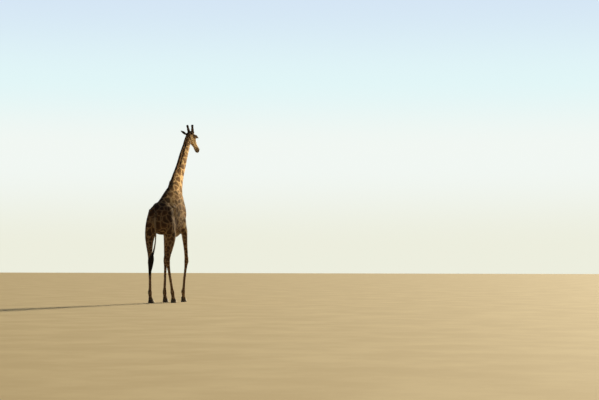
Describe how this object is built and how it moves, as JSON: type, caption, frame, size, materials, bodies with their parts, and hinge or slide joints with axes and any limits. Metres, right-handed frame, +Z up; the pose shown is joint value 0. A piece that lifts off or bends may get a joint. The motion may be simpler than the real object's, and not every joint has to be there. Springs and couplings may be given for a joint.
{
  "type": "giraffe",
  "caption": "Still, life-size bull giraffe standing in a walking pose, long neck forward, head turned a little to its right.",
  "frame": {"origin": "on the floor, under the middle of the animal's overall box", "axes": "+Z up; the animal walks towards -Y; +X is its left side"},
  "size_m": [0.7694, 3.1152, 5.2085],
  "materials": {
    "hide": "short flat coat, brown patches on a tan ground",
    "hoof_horn": "worn dark hoof horn",
    "horn_skin": "furred horn skin, rubbed bare and dark at the tip",
    "eye_gloss": "wet dark brown eye",
    "mane_hair": "stiff upright brown hair",
    "dark_hair": "long black tail hair"
  },
  "bodies": {
    "root": {"head": "hide", "neck": "hide", "trunk": "hide", "tail": "hide", "ear_left": "hide", "ear_right": "hide", "leg_front_left": "hide", "leg_front_right": "hide", "leg_hind_left": "hide", "leg_hind_right": "hide", "hoof_front_left": "hoof_horn", "hoof_front_right": "hoof_horn", "hoof_hind_left": "hoof_horn", "hoof_hind_right": "hoof_horn", "ossicone_left": "horn_skin", "ossicone_right": "horn_skin", "eye_left": "eye_gloss", "eye_right": "eye_gloss", "mane": "mane_hair", "tail_tassel": "dark_hair"}
  },
  "joints": []
}
